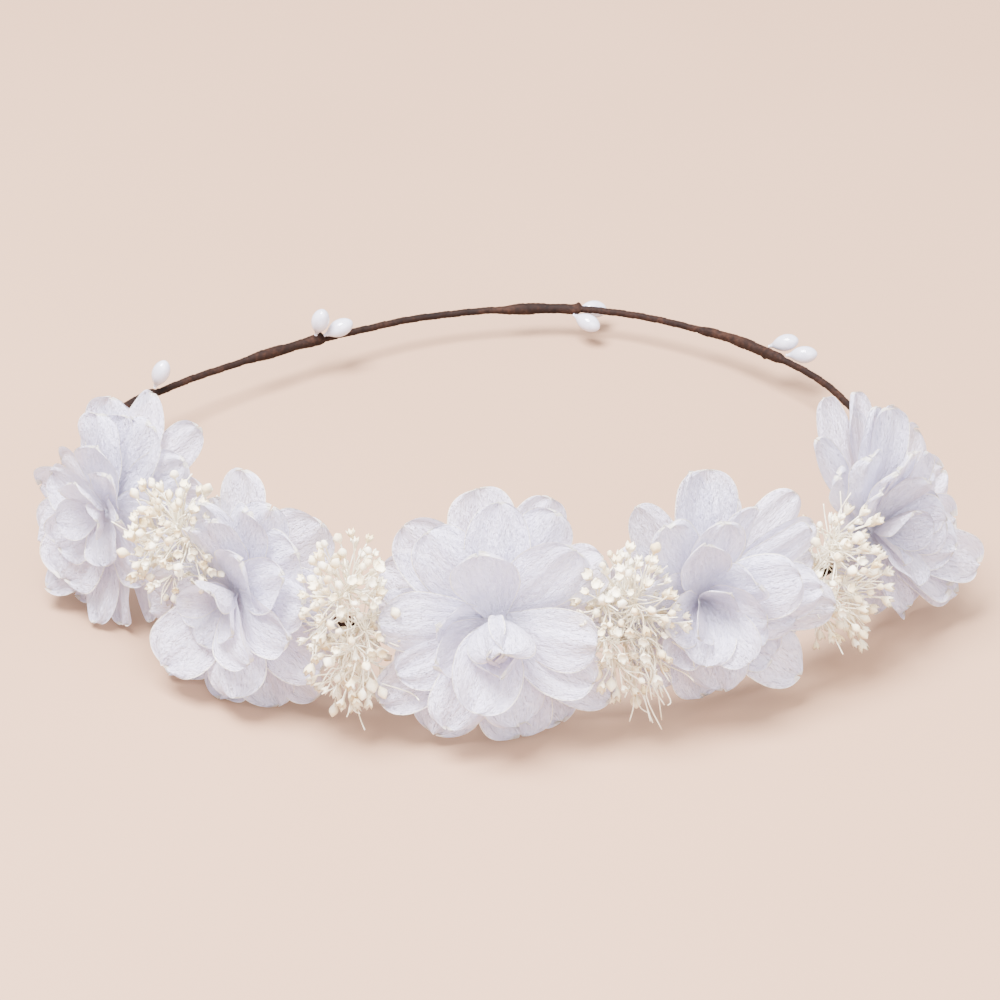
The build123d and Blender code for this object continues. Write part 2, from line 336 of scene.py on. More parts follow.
def crepe_paper():
    material, nodes, links, skin = new_material("crepe_paper")
    place = add(nodes, "ShaderNodeTexCoord")
    grain = add(nodes, "ShaderNodeTexNoise", Scale=900.0, Detail=4.0, Roughness=0.65)
    patch = add(nodes, "ShaderNodeTexNoise", Scale=160.0, Detail=3.0)
    links.new(place.outputs["Object"], grain.inputs["Vector"])
    links.new(place.outputs["Object"], patch.inputs["Vector"])
    brown = colour_ramp(
        nodes,
        [(0.3, (0.003, 0.001, 0.0005)), (0.5, (0.011, 0.004, 0.002)), (0.7, (0.036, 0.014, 0.007))],
    )
    blend = add(nodes, "ShaderNodeMath", operation="MULTIPLY_ADD")
    blend.inputs[1].default_value = 0.5
    links.new(grain.outputs["Fac"], blend.inputs[0])
    halved = add(nodes, "ShaderNodeMath", operation="MULTIPLY")
    halved.inputs[1].default_value = 0.5
    links.new(patch.outputs["Fac"], halved.inputs[0])
    links.new(halved.outputs["Value"], blend.inputs[2])
    links.new(blend.outputs["Value"], brown.inputs["Fac"])
    links.new(brown.outputs["Color"], skin.inputs["Base Color"])
    relief = bump(nodes, links, grain.outputs["Fac"], 0.0002, 0.8)
    links.new(relief.outputs["Normal"], skin.inputs["Normal"])
    skin.inputs["Roughness"].default_value = 0.75
    skin.inputs["Specular IOR Level"].default_value = 0.15
    return material


def lacquer():
    material, nodes, links, skin = new_material("lacquer")
    place = add(nodes, "ShaderNodeTexCoord")
    ripple = add(nodes, "ShaderNodeTexNoise", Scale=420.0, Detail=2.0)
    links.new(place.outputs["Object"], ripple.inputs["Vector"])
    white = colour_ramp(nodes, [(0.3, (0.48, 0.465, 0.53)), (0.7, (0.6, 0.585, 0.65))])
    links.new(ripple.outputs["Fac"], white.inputs["Fac"])
    links.new(white.outputs["Color"], skin.inputs["Base Color"])
    relief = bump(nodes, links, ripple.outputs["Fac"], 0.0001, 0.35)
    links.new(relief.outputs["Normal"], skin.inputs["Normal"])
    skin.inputs["Roughness"].default_value = 0.16
    skin.inputs["Coat Weight"].default_value = 0.6
    skin.inputs["Coat Roughness"].default_value = 0.06
    return material


def bloom():
    material, nodes, links, skin = new_material("dried_bloom")
    place = add(nodes, "ShaderNodeTexCoord")
    each = add(nodes, "ShaderNodeTexNoise", Scale=260.0, Detail=1.0)
    grain = add(nodes, "ShaderNodeTexNoise", Scale=1800.0, Detail=3.0)
    links.new(place.outputs["Object"], each.inputs["Vector"])
    links.new(place.outputs["Object"], grain.inputs["Vector"])
    cream = colour_ramp(
        nodes, [(0.3, (0.72, 0.57, 0.31)), (0.48, (0.84, 0.74, 0.51)), (0.66, (0.91, 0.84, 0.67))]
    )
    links.new(each.outputs["Fac"], cream.inputs["Fac"])
    links.new(cream.outputs["Color"], skin.inputs["Base Color"])
    relief = bump(nodes, links, grain.outputs["Fac"], 0.0001, 0.7)
    links.new(relief.outputs["Normal"], skin.inputs["Normal"])
    skin.inputs["Roughness"].default_value = 0.7
    skin.inputs["Specular IOR Level"].default_value = 0.3
    return material


def straw():
    material, nodes, links, skin = new_material("dried_stem")
    place = add(nodes, "ShaderNodeTexCoord")
    grain = add(nodes, "ShaderNodeTexNoise", Scale=500.0, Detail=3.0)
    links.new(place.outputs["Object"], grain.inputs["Vector"])
    tan = colour_ramp(nodes, [(0.3, (0.72, 0.63, 0.42)), (0.7, (0.93, 0.89, 0.74))])
    links.new(grain.outputs["Fac"], tan.inputs["Fac"])
    links.new(tan.outputs["Color"], skin.inputs["Base Color"])
    relief = bump(nodes, links, grain.outputs["Fac"], 0.00005, 0.6)
    links.new(relief.outputs["Normal"], skin.inputs["Normal"])
    skin.inputs["Roughness"].default_value = 0.6
    return material


def felt():
    material, nodes, links, skin = new_material("white_felt")
    place = add(nodes, "ShaderNodeTexCoord")
    fuzz = add(nodes, "ShaderNodeTexNoise", Scale=1500.0, Detail=5.0, Roughness=0.7)
    links.new(place.outputs["Object"], fuzz.inputs["Vector"])
    white = colour_ramp(nodes, [(0.3, (0.66, 0.65, 0.63)), (0.7, (0.86, 0.85, 0.83))])
    links.new(fuzz.outputs["Fac"], white.inputs["Fac"])
    links.new(white.outputs["Color"], skin.inputs["Base Color"])
    relief = bump(nodes, links, fuzz.outputs["Fac"], 0.0003, 0.9)
    links.new(relief.outputs["Normal"], skin.inputs["Normal"])
    skin.inputs["Roughness"].default_value = 0.95
    skin.inputs["Sheen Weight"].default_value = 0.4
    return material


CHIFFON = chiffon()
CREPE = crepe_paper()
LACQUER = lacquer()
BLOOM = bloom()
STRAW = straw()
FELT = felt()

# ---------------------------------------------------------------- taped ring
TAPE_R = 0.78
TAPE_PITCH = 5.2
TAPE_LIP = 0.14
TAPE_SIDES = 16
SLEEVE_R = 1.2
SLEEVE_END_R = 0.55
SLEEVE_BEFORE = 1.2
SLEEVE_LENGTH = 21.2
NIB_LENGTH = 0.7
NIB_TURN = 0.06


def tape_relief(rng, handed=1):
    """Radius added by the tape's overlapping turns and its crepe wrinkles."""
    phase = rng.uniform(0, 1)
    slow = [rng.uniform(0, TAU) for _ in range(3)]

    def height(i, j):
        s = i * RING_STEP
        turn = j / TAPE_SIDES
        lap = (s / TAPE_PITCH + handed * turn + phase) % 1
        lip = TAPE_LIP * (1 - lap) ** 0.8
        wrinkle = 0.035 * math.sin(TAU * (s / 1.15 - 2 * handed * turn) + slow[0])
        sag = 0.05 * math.sin(s / 3.1 + slow[1]) * math.sin(TAU * turn + slow[2])
        return lip + wrinkle + sag - 0.05

    return height


def make_ring_tape():
    soup = Soup()
    rng = random.Random(11)
    height = tape_relief(rng)
    rows, uvs = [], []
    turns = round(ring.length / TAPE_PITCH)
    for i in range(ring.count):
        here, out = ring.at(i), ring.outwards(i)
        other = ring.along(i).cross(out)
        fade = i * turns * TAPE_PITCH / ring.length
        row = []
        for j in range(TAPE_SIDES):
            turn = TAU * j / TAPE_SIDES
            r = TAPE_R + height(fade, j)
            row.append(here + (out * math.cos(turn) + other * math.sin(turn)) * r)
        rows.append(to_row(row))
        uvs.append([(j / TAPE_SIDES, i / ring.count) for j in range(TAPE_SIDES)])
    soup.grid(rows + rows[:1], uvs + uvs[:1], closed=True)
    return soup.build(
        "ring_tape", CREPE, "crown", ("core_wire", "band_tape", "berry_stems"), "crepe_tape"
    )


def add_sleeve(soup, rng, start, end, radius, offset, nibs=()):
    """Tape wound over a stretch of the ring, thinner towards both ends, with torn nibs."""
    height = tape_relief(rng, -1)
    points, radii = [], []
    count = end - start
    for i in range(count + 1):
        near, far = i * RING_STEP, (count - i) * RING_STEP
        swell = min(1.0, near / 2.0, far / 7.0)
        lump = 1 + 0.07 * math.sin(i * RING_STEP / 2.9 + start)
        points.append(ring.at(start + i) + offset * swell)
        growth = math.sin(swell * math.pi / 2) ** 0.8
        radii.append(SLEEVE_END_R + (radius * lump - SLEEVE_END_R) * growth)

    def relief(i, j):
        bulge = height(i, j) + 0.08 * math.sin(i * RING_STEP / 1.7)
        for at, turn, size in nibs:
            past = (i * RING_STEP - at) / NIB_LENGTH
            aside = ((j / TAPE_SIDES - turn + 0.5) % 1 - 0.5) / NIB_TURN
            bulge += size * math.exp(-(past**2 + aside**2))
        return bulge

    add_tube(soup, points, radii, TAPE_SIDES, relief)


BERRY_GROUPS = {
    "a": (-114.0, [("a1", -13, 13, 0.0)]),
    "b": (-145.6, [("b1", -12, 8, 0.0), ("b2", -33, 60, 1.6)]),
    "c": (168.0, [("c1", -112, 60, 0.0), ("c2", 118, 60, 0.8)]),
    "d": (133.0, [("d1", 58, 54, 0.0), ("d2", 78, 56, 5.2)]),
}
BERRY_PIVOT_OUT = 1.75
BERRY_SIDES = 28
NECK_STEPS = 12
NECK_SIDES = 12


def berry_place(angle, side, lean, shift):
    """Pivot and direction of a berry, as in the CAD, and the way it stands off the ring."""
    here = ring.index(angle, -shift)
    along = -ring.along(here)
    out = ring.outwards(here)
    turn, tip = math.radians(side), math.radians(lean)
    away = (along.cross(out) * math.cos(turn) + out * math.sin(turn)).normalized()
    direction = away * math.cos(tip) + along * math.sin(tip)
    return ring.at(here) + away * BERRY_PIVOT_OUT, direction.normalized(), away


def make_berry(name, pivot, direction, rng):
    """A lacquered drop: dipped, so a little uneven, with a bead of lacquer at its neck."""
    profile = [
        (0.5, 0.3), (0.7, 0.5), (0.9, 0.56), (1.1, 0.6), (1.5, 0.95), (2.0, 1.35), (2.6, 1.7),
        (3.2, 1.93), (3.8, 2.06), (4.4, 2.1), (5.0, 2.06), (5.6, 1.92), (6.2, 1.67), (6.7, 1.33),
        (7.1, 0.93), (7.35, 0.55), (7.45, 0.25),
    ]
    side = direction.cross(Vector((0.3, 0.2, 0.9))).normalized()
    other = direction.cross(side)
    squash = rng.uniform(0.95, 0.99)
    phases = [rng.uniform(0, TAU) for _ in range(4)]
    rows, uvs = [], []
    for i, (height, r) in enumerate(profile):
        row = []
        for j in range(BERRY_SIDES):
            turn = TAU * j / BERRY_SIDES
            oval = 0.02 * math.sin(2 * turn + phases[0])
            uneven = 1 + oval + 0.012 * math.sin(3 * turn + phases[1] + height)
            x, y = r * uneven * math.cos(turn), r * uneven * squash * math.sin(turn)
            row.append(pivot + direction * height + side * x + other * y)
        rows.append(to_row(row))
        uvs.append([(j / BERRY_SIDES, i / len(profile)) for j in range(BERRY_SIDES)])
    soup = Soup()
    first = soup.grid(rows, uvs, closed=True)
    soup.cap(first, BERRY_SIDES, True)
    soup.cap(first + (len(profile) - 1) * BERRY_SIDES, BERRY_SIDES, False)
    piece = soup.build(
        f"berry_{name}_drop", LACQUER, f"berry_{name}_bud", (f"berry_{name}",), "berry_lacquer"
    )
    modifier = piece.modifiers.new("round", "SUBSURF")
    modifier.levels = modifier.render_levels = 1

    neck = Soup()
    line = [pivot + direction * (0.12 + 0.1 * k) for k in range(NECK_STEPS)]
    radii = [0.3 + 0.1 * math.cos(k / (NECK_STEPS - 1) * TAU) ** 2 for k in range(NECK_STEPS)]
    add_tube(neck, line, radii, NECK_SIDES)
    neck.build(
        f"berry_{name}_neck_wire", LACQUER, f"berry_{name}_bud", (f"berry_{name}_neck",), "stem_wire"
    )


def make_berries():
    rng = random.Random(5)
    nibs = {
        "a": [(1.0, 0.3, 0.7)],
        "b": [(1.8, 0.75, 0.8), (2.4, 0.2, 0.5)],
        "c": [(0.9, 0.9, 0.8)],
        "d": [(6.0, 0.3, 0.5)],
    }
    for group, (angle, berries) in BERRY_GROUPS.items():
        last = max(shift for _, _, _, shift in berries)
        start = ring.index(angle, -last - SLEEVE_BEFORE)
        end = start + round((last + SLEEVE_LENGTH) / RING_STEP)
        soup = Soup()
        middle = sum((berry_place(angle, *place)[2] for _, *place in berries), Vector())
        offset = middle * (0.22 / len(berries))
        add_sleeve(soup, rng, start, end, SLEEVE_R, offset, nibs[group])
        soup.build(f"berry_tape_{group}", CREPE, "crown", (f"berry_wrap_{group}",), "crepe_tape")
        for name, side, lean, shift in berries:
            pivot, direction, _ = berry_place(angle, side, lean, shift)
            make_berry(name, pivot, direction, rng)


# ---------------------------------------------------------------- flowers
# number: plan angle, hub height, turn to the right and upwards, as in the CAD
FLOWERS = {
    1: (-66.0, 26.5, 15.0, 8.0),
    2: (-40.0, 24.0, 0.0, 8.0),
    3: (-0.5, 27.0, 0.0, 10.0),
    4: (29.5, 27.0, 0.0, 10.0),
    5: (61.0, 25.5, 0.0, 10.0),
}
FLOWER_OUT = 3.2

# Petals by flower and layer: azimuth round the flower's axis (0 right, 90 up), rise
# towards where the flower faces, length, width, and how far the tip bends back.
PETALS = {
    1: {
        "outer": [
            (95, 5, 26, 13, 20), (80, -10, 28, 14, 10), (55, -15, 29, 10, 10),
            (30, -10, 24, 12, 10), (5, -5, 23, 13, 10), (330, 10, 22, 12, 10),
            (185, -20, 26, 15, 10), (215, -5, 26, 14, 15), (200, -15, 25, 12, 5),
            (235, 5, 27, 13, 20), (250, 0, 26, 12, 15), (285, 5, 26, 11, 20),
            (240, 15, 26, 12, 0), (272, 12, 26, 11, 0), (295, -5, 26, 12, 0), (150, -20, 21, 13, 10),
            (110, -15, 22, 12, 10), (130, -20, 20, 12, 10),
        ],
        "middle": [
            (85, 0, 23, 16, 15), (95, 10, 23, 13, 30), (70, 0, 25, 13, 10),
            (245, 15, 20, 17, 35), (45, -5, 25, 12, 10), (215, 10, 21, 16, 20),
            (190, 0, 21, 15, 20), (20, 10, 20, 12, 25), (320, 10, 18, 12, 30),
        ],
        "inner": [
            (60, 30, 18, 10, 0), (25, 35, 15, 10, 10), (85, 20, 19, 13, -15),
            (300, 30, 12, 10, 20), (230, 20, 14, 13, 30), (160, 10, 15, 13, 20),
        ],
    },
    2: {
        "outer": [
            (95, 0, 27, 13, 15), (70, 15, 27, 13, 25), (50, 0, 28, 16, 15), (15, 5, 26, 13, 20),
            (345, 0, 26, 13, 15), (320, 5, 28, 14, 15), (270, 10, 26, 14, 15),
            (300, 5, 26, 15, 15), (240, 10, 27, 15, 20), (210, 0, 25, 14, 15),
            (185, -5, 22, 12, 10), (150, -15, 18, 12, 5), (120, -5, 20, 13, 10),
        ],
        "middle": [
            (105, 20, 23, 13, 15), (90, 30, 23, 12, 10), (75, 20, 25, 12, 10),
            (45, 15, 25, 16, 10), (335, 10, 26, 14, 20), (290, 30, 23, 16, 35),
            (240, 25, 23, 16, 35), (205, 10, 17, 13, 25), (190, 15, 19, 14, 0),
            (15, 20, 23, 13, 25),
        ],
        "inner": [
            (325, 40, 19, 14, 60), (355, 25, 21, 13, 30), (60, 35, 18, 14, 0), (35, 20, 21, 13, 15),
            (110, 30, 20, 11, -10), (200, 30, 12, 12, 20), (260, 40, 13, 12, 30),
        ],
    },
    3: {
        "outer": [
            (100, 0, 29, 15, 20), (135, 0, 28, 16, 20), (35, 10, 27, 13, 20),
            (325, 10, 29, 13, 20), (280, 5, 27, 17, 20), (240, 10, 28, 16, 20),
            (215, 10, 30, 13, 20), (180, -5, 27, 14, 10), (0, -5, 27, 14, 10),
            (65, -5, 28, 14, 10), (160, -10, 26, 13, 5), (300, 0, 27, 14, 15),
        ],
        "middle": [
            (90, 5, 27, 14, 20), (125, 10, 26, 15, 30), (65, 5, 28, 13, -10),
            (50, 15, 25, 16, 30), (355, 30, 24, 14, 45), (330, 25, 25, 13, 45),
            (285, 30, 23, 15, 45), (245, 25, 25, 14, 40), (175, 20, 26, 14, 10),
            (205, 20, 24, 14, 30),
        ],
        "inner": [
            (100, 25, 21, 15, -20), (250, 45, 21, 17, 50), (170, 35, 16, 11, -80),
            (200, 40, 18, 11, -60),
        ],
    },
    4: {
        "outer": [
            (120, 0, 26, 10, 10), (90, 0, 28, 10, 15), (80, 0, 28, 14, 15), (42, 5, 30, 10, 15),
            (25, 10, 29, 9, 15), (10, 10, 26, 12, 15), (350, 20, 30, 13, 25),
            (315, 15, 29, 14, 25), (272, -5, 24, 16, 10), (215, 15, 20, 13, 20),
            (180, -10, 17, 12, 10), (240, 0, 21, 14, 15), (150, -10, 19, 12, 5),
            (65, -10, 24, 13, 5), (335, 0, 27, 13, 15),
        ],
        "middle": [
            (85, 30, 24, 13, 10), (60, 20, 25, 9, 10), (30, 20, 28, 9, 20),
            (15, 35, 23, 15, 40), (0, 25, 26, 14, 35), (345, 25, 21, 13, 35),
            (315, 15, 21, 12, 30), (150, 25, 20, 12, 0), (215, 35, 17, 13, 40),
            (275, 20, 20, 14, 35), (115, 20, 25, 12, 5),
        ],
        "inner": [
            (355, 55, 16, 15, 40), (100, 30, 19, 12, -10), (180, 40, 16, 13, 10),
            (245, 50, 16, 13, 40), (320, 50, 17, 9, 35), (40, 50, 15, 12, 0),
        ],
    },
    5: {
        "outer": [
            (90, -12, 30, 9, 5), (75, -10, 29, 9, 5), (75, 10, 27, 12, 15), (110, -5, 26, 7, 5),
            (50, -5, 27, 12, 10), (30, 0, 26, 13, 15), (5, 5, 27, 12, 15), (340, 15, 26, 13, 20),
            (320, 30, 29, 12, 30), (305, 25, 28, 12, 30), (290, 5, 25, 14, 15),
            (270, -5, 21, 12, 10), (120, 10, 22, 8, -20), (165, 10, 13, 11, 0),
            (205, 5, 13, 11, 0), (245, 0, 17, 12, 10),
        ],
        "middle": [
            (80, 5, 27, 10, 10), (90, 35, 24, 11, 10), (60, 30, 21, 13, 20), (325, 20, 23, 14, 35),
            (305, 25, 24, 12, 35), (105, 20, 24, 12, 0), (200, 30, 12, 11, 10),
            (280, 15, 20, 14, 30), (25, 20, 19, 13, 25), (100, 35, 22, 12, -20),
        ],
        "inner": [
            (355, 55, 15, 14, 30), (115, 30, 19, 10, 0), (20, 45, 15, 12, 20),
            (265, 45, 15, 12, 30), (330, 45, 18, 13, 35), (70, 45, 17, 12, 0),
        ],
    },
}
# The petals of each heart: azimuth, rise, length, width, bend and cup, rolled in 3.
HEARTS = {
    1: [(95, 45, 13, 11, 0, 60), (20, 50, 12, 9, 0, 60), (200, 50, 10, 10, 10, 50)],
    2: [(75, 65, 14, 11, -20, 50), (340, 55, 13, 10, 20, 45), (170, 60, 13, 10, 10, 50)],
    3: [
        (90, 88, 19, 18, -65, 85), (25, 85, 18, 14, -55, 95), (160, 85, 18, 14, -55, 95),
        (120, 88, 15, 10, -30, 100), (270, 72, 17, 15, -50, 80),
    ],
    4: [(295, 50, 17, 12, 30, 40), (200, 60, 12, 10, 20, 40), (60, 65, 12, 10, -10, 50)],
    5: [(110, 60, 14, 10, -10, 55), (230, 60, 11, 9, 0, 60), (350, 60, 12, 10, 10, 50)],
}
LAYER_HEIGHT = {"outer": 0.0, "middle": 1.3, "inner": 2.8, "heart": 3.6}
PETAL_ROWS = 36
PETAL_COLUMNS = 31
PETAL_BASE = 0.24
TABLE_GAP = 0.35
TABLE_SOFTNESS = 0.8
BACKING_SIDES = 40


class Flower:
    """A flower's hub and axes: right, up and the way it faces."""

    def __init__(self, number):
        angle, height, turn, tilt = FLOWERS[number]
        here = ring.index(angle)
        out = ring.outwards(here)
        hub = ring.at(here) + out * FLOWER_OUT
        self.hub = Vector((hub.x, hub.y, height))
        azimuth = math.atan2(out.x, -out.y) + math.radians(turn)
        lift = math.radians(tilt)
        self.face = Vector(
            (
                math.sin(azimuth) * math.cos(lift),
                -math.cos(azimuth) * math.cos(lift),
                math.sin(lift),
            )
        )
        self.right = UP.cross(self.face).normalized()
        self.up = self.face.cross(self.right)

    def place(self, x, y, z):
        """Arrays of flower coordinates to an array of model points."""
        axes = [np.array(a) for a in (self.right, self.up, self.face)]
        parts = [np.multiply.outer(c, a) for c, a in zip((x, y, z), axes)]
        return np.array(self.hub) + sum(parts)


def waves(rng, u, v, reach):
    """A smooth random field, about -1 to 1, with reach waves along the petal."""
    field = np.zeros_like(u)
    for _ in range(7):
        turn = rng.uniform(0, TAU)
        speed = TAU * reach * rng.uniform(0.4, 1.0)
        field += np.sin(speed * (u * math.cos(turn) + v * 0.5 * math.sin(turn)) + rng.uniform(0, TAU))
    return field / 3.2


def petal_points(rng, azimuth, rise, length, width, bend, cup, height, ruffle):
    """One petal as a grid of points in flower coordinates."""
    steps = np.linspace(0, 1, PETAL_ROWS)
    u1 = np.sin(steps * math.pi / 2) ** 1.15
    u, v = np.meshgrid(u1, np.linspace(-1, 1, PETAL_COLUMNS), indexing="ij")

    widest = rng.uniform(0.62, 0.72)
    power = rng.uniform(2.1, 2.8)
    grow = PETAL_BASE + (1 - PETAL_BASE) * np.sin(np.clip(u / widest, 0, 1) * math.pi / 2) ** 1.15
    past = np.clip((u - widest) / (1 - widest), 0, 1) * 0.9995
    half = width / 2 * np.where(u < widest, grow, (1 - past**power) ** (1 / power))
    half = half * (1 + 0.05 * waves(rng, u, np.sign(v) * 3, 1.5) * u * (1 - u**6))

    tilt = np.radians(rise + bend * (0.5 - u1))
    step = np.diff(u1, prepend=0) * length
    out_line = 0.6 + np.cumsum(np.cos(tilt) * step)
    up_line = height + np.cumsum(np.sin(tilt) * step)

    curve = np.radians(cup) * (0.4 + 0.6 * u)
    curve = np.where(np.abs(curve) < 1e-3, 1e-3, curve)
    side = half * np.sin(curve * v) / curve
    rise_up = half * (1 - np.cos(curve * v)) / curve

    edge = np.abs(v) ** 1.6
    flutter_speed = TAU * rng.uniform(1.0, 1.8)
    flutter = np.sin(flutter_speed * u + np.where(v < 0, rng.uniform(0, TAU), rng.uniform(0, TAU)))
    frill = np.sin(math.pi * rng.uniform(1.2, 2.4) * v + rng.uniform(0, TAU))
    rise_up = rise_up + ruffle * (1.1 * edge * flutter * u * (1 - u**5) + 0.8 * frill * u**2.2)
    rise_up = rise_up + ruffle * 0.7 * waves(rng, u, v, 1.2) * u
    rise_up = rise_up + 0.13 * waves(rng, u * 0.5, v * 4, 1.6) * (0.3 + 0.7 * u)

    twist = math.radians(rng.uniform(-22, 22)) * u
    side_2 = side * np.cos(twist) - rise_up * np.sin(twist)
    rise_2 = side * np.sin(twist) + rise_up * np.cos(twist)

    lean = tilt[:, None]
    radial = out_line[:, None] - np.sin(lean) * rise_2
    forward = up_line[:, None] + np.cos(lean) * rise_2
    turn = math.radians(azimuth)
    sway = side_2 + rng.uniform(-1.2, 1.2) * u**2
    x = radial * math.cos(turn) - sway * math.sin(turn)
    y = radial * math.sin(turn) + sway * math.cos(turn)
    return x, y, forward, u, v


def lay_on_table(points, gap):
    """Bends what would be under the table onto it."""
    z = points[..., 2] - gap
    points[..., 2] = gap + np.logaddexp(0, z / TABLE_SOFTNESS) * TABLE_SOFTNESS
    return points


def add_petal(soup, flower, rng, row, layer, number):
    azimuth, rise, length, width, bend, *own_cup = row
    height = LAYER_HEIGHT[layer] + rng.uniform(-0.5, 0.5)
    if layer == "heart":
        cup, ruffle = own_cup[0], 0.35
    elif layer == "inner":
        cup, ruffle = rng.choice((-30, 35, 50)), 0.7
    else:
        cup, ruffle = rng.choice((-30, -12, 15, 30)), 0.8
    x, y, z, u, v = petal_points(rng, azimuth, rise, length, width, bend, cup, height, ruffle)
    points = lay_on_table(flower.place(x, y, z), TABLE_GAP + 0.12 * (number % 5))
    rows = [[(Vector(p) + ROW_SHIFT) * MM for p in line] for line in points]
    uvs = [[(0.5 + b / 2, a) for a, b in zip(us, vs)] for us, vs in zip(u, v)]
    soup.grid(rows, uvs)


def make_cloth(number, flower, rng, layer, rows, node):
    soup = Soup()
    for k, row in enumerate(rows):
        add_petal(soup, flower, rng, row, layer, k)
    piece = soup.build(f"flower_{number}_{layer}_cloth", CHIFFON, "crown", (node,), "petal_cloth")
    return piece


def make_backing(number, flower, rng):
    """A felt disc with a soft, slightly uneven edge."""
    profile = [(0.5, -1.15), (3.5, -1.2), (4.7, -1.1), (5.05, -0.75), (4.8, -0.3), (3.5, -0.2), (0.5, -0.2)]
    phase = rng.uniform(0, TAU)
    rows, uvs = [], []
    for r, z in profile:
        turns = [TAU * j / BACKING_SIDES for j in range(BACKING_SIDES)]
        radii = [r * (1 + 0.025 * math.sin(3 * t + phase) + 0.012 * math.sin(11 * t)) for t in turns]
        row = [
            flower.hub
            + flower.right * (q * math.cos(t))
            + flower.up * (q * math.sin(t))
            + flower.face * (z - 0.05)
            for q, t in zip(radii, turns)
        ]
        rows.append(to_row(row))
        uvs.append([(0.5 + q * math.cos(t) / 12, 0.5 + q * math.sin(t) / 12) for q, t in zip(radii, turns)])
    soup = Soup()
    first = soup.grid(rows, uvs, closed=True)
    soup.cap(first, BACKING_SIDES, True)
    soup.cap(first + (len(profile) - 1) * BACKING_SIDES, BACKING_SIDES, False)
    return soup.build(
        f"flower_{number}_felt", FELT, "crown", (f"flower_{number}_backing",), "felt"
    )


def make_flower_stem(number, flower):
    """The flower's wire: out of its back, round a bend and beside the ring, under tape."""
    here = ring.index(FLOWERS[number][0])
    along, out = ring.along(here), ring.outwards(here)
    leg = [ring.at(here) + along * k + out * 1.35 for k in (3, 5, 7, 9)]
    line = smooth_line([flower.hub - flower.face * 0.3, flower.hub - flower.face * 1.9] + leg, 5)
    soup = Soup()
    add_tube(soup, line, [0.42 + 0.05 * math.sin(k) for k in range(len(line))], 10)
    soup.build(f"flower_{number}_wire", CREPE, "crown", (f"flower_{number}_stem",), "stem_wire")


def make_flower(number):
    flower = Flower(number)
    rng = random.Random(100 + number)
    backing = make_backing(number, flower, rng)
    make_flower_stem(number, flower)
    for layer, rows in PETALS[number].items():
        make_cloth(number, flower, rng, layer, rows, f"flower_{number}_{layer}_petals")
    make_cloth(number, flower, rng, "heart", HEARTS[number], f"flower_{number}_heart")


# ---------------------------------------------------------------- dried sprays
# number: plan angle, then for the spray's middle its place along the ring, outwards and
# up, and its half size along, outwards and up, and how many heads it has
SPRAYS = {
    1: (-52.5, (6, 7, 33), (13, 9, 16), 140),
    2: (-20.5, (-1, 12, 29), (10, 9, 22), 150),
    3: (15.5, (4, 11, 29), (11, 9, 19), 150),
    4: (46.5, (7, 10, 24), (11, 9, 17), 130),
}
# Bare stems hanging loose: how many, and their middle along the ring, outwards and up.
LOOSE_STEMS = {2: (14, (1, 15, 12)), 3: (26, (9, 15, 13))}
NO_LOOSE_STEMS = (0, None)
HEAD_LENGTH = 2.8
HEAD_R = 1.2
HEAD_SIDES = 10
HEAD_GAP = 2.2
MOST_TRIES = 20000
FORKS = 16
BARE_STEMS = 70

# Profiles of a dried bud along its length: closed and rounded, or an open cup with teeth.
CLOSED_BUD = [
    (0.0, 0.2), (0.14, 0.32), (0.32, 0.66), (0.55, 0.9), (0.78, 0.84), (1.0, 0.42), (1.12, 0.12),
]
OPEN_CUP = [
    (0.0, 0.18), (0.15, 0.3), (0.38, 0.62), (0.66, 0.86), (0.95, 1.0), (0.82, 0.66), (0.7, 0.2),
]


def add_head(soup, rng, place, direction, size):
    """A dried bud on its collar, ribbed, closed or opened into a toothed cup."""
    side = direction.cross(Vector([rng.uniform(-1, 1) for _ in range(3)])).normalized()
    other = direction.cross(side)
    open_cup = rng.random() < 0.6
    profile = OPEN_CUP if open_cup else CLOSED_BUD
    phase = rng.uniform(0, TAU)
    rows, uvs = [], []
    for i, (t, r) in enumerate(profile):
        row = []
        for j in range(HEAD_SIDES):
            turn = TAU * j / HEAD_SIDES
            rib = 1 + 0.15 * math.cos(5 * turn) * math.sin(math.pi * min(t, 1))
            rib += 0.12 * math.sin(2 * turn + phase)
            tooth = 0.16 * math.cos(5 * turn) if open_cup and i == 4 else 0.0
            q = HEAD_R * size * r * rib
            row.append(
                place
                + direction * ((t + tooth) * HEAD_LENGTH * size)
                + side * (q * math.cos(turn))
                + other * (q * math.sin(turn))
            )
        rows.append(to_row(row))
        uvs.append([(j / HEAD_SIDES, i / (len(profile) - 1)) for j in range(HEAD_SIDES)])
    first = soup.grid(rows, uvs, closed=True)
    soup.cap(first, HEAD_SIDES, True)
    soup.cap(first + (len(profile) - 1) * HEAD_SIDES, HEAD_SIDES, False)


def scatter(rng, count, centre, axes, halves):
    """Points inside an ellipsoid, more of them near its skin, and not too close together."""
    points = []
    tries = 0
    while len(points) < count and tries < MOST_TRIES:
        tries += 1
        way = Vector([rng.gauss(0, 1) for _ in range(3)]).normalized()
        reach = rng.uniform(0.25, 1.0) ** 0.5
        offset = [c * h * reach for c, h in zip(way, halves)]
        point = centre + sum((a * o for a, o in zip(axes, offset)), Vector())
        if point.z < 1.6:
            continue
        if all((point - p).length > HEAD_GAP for p in points):
            points.append(point)
    return points


